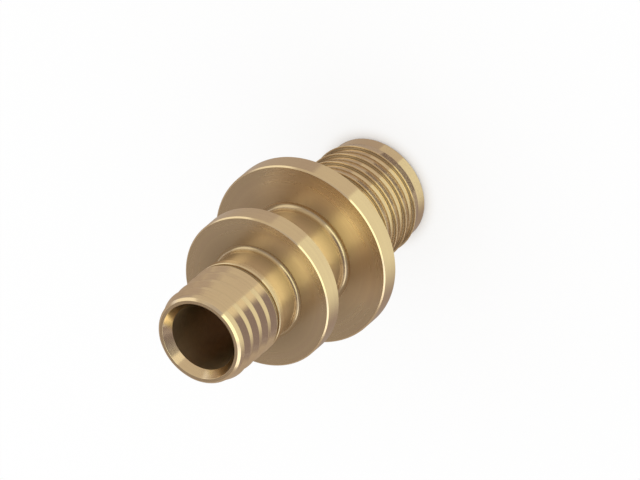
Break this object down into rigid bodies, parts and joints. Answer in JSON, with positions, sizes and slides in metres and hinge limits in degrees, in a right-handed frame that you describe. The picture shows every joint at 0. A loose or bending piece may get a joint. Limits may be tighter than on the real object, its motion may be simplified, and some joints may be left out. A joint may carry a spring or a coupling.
{
  "type": "pipe reducing coupling",
  "caption": "One-piece brass reducing coupling with a ribbed spigot at each end and two round sleeve stops, for plastic pipe pressed on with sliding sleeves.",
  "frame": {"origin": "centre of the large spigot's end face, on the axis", "axes": "+Z along the axis, from the large spigot's mouth to the small spigot's mouth; X and Y are any two directions across it"},
  "size_m": [0.0346, 0.0346, 0.0624],
  "materials": {
    "brass": "satin, as turned"
  },
  "bodies": {
    "root": {"coupling_body": "brass"}
  },
  "joints": []
}
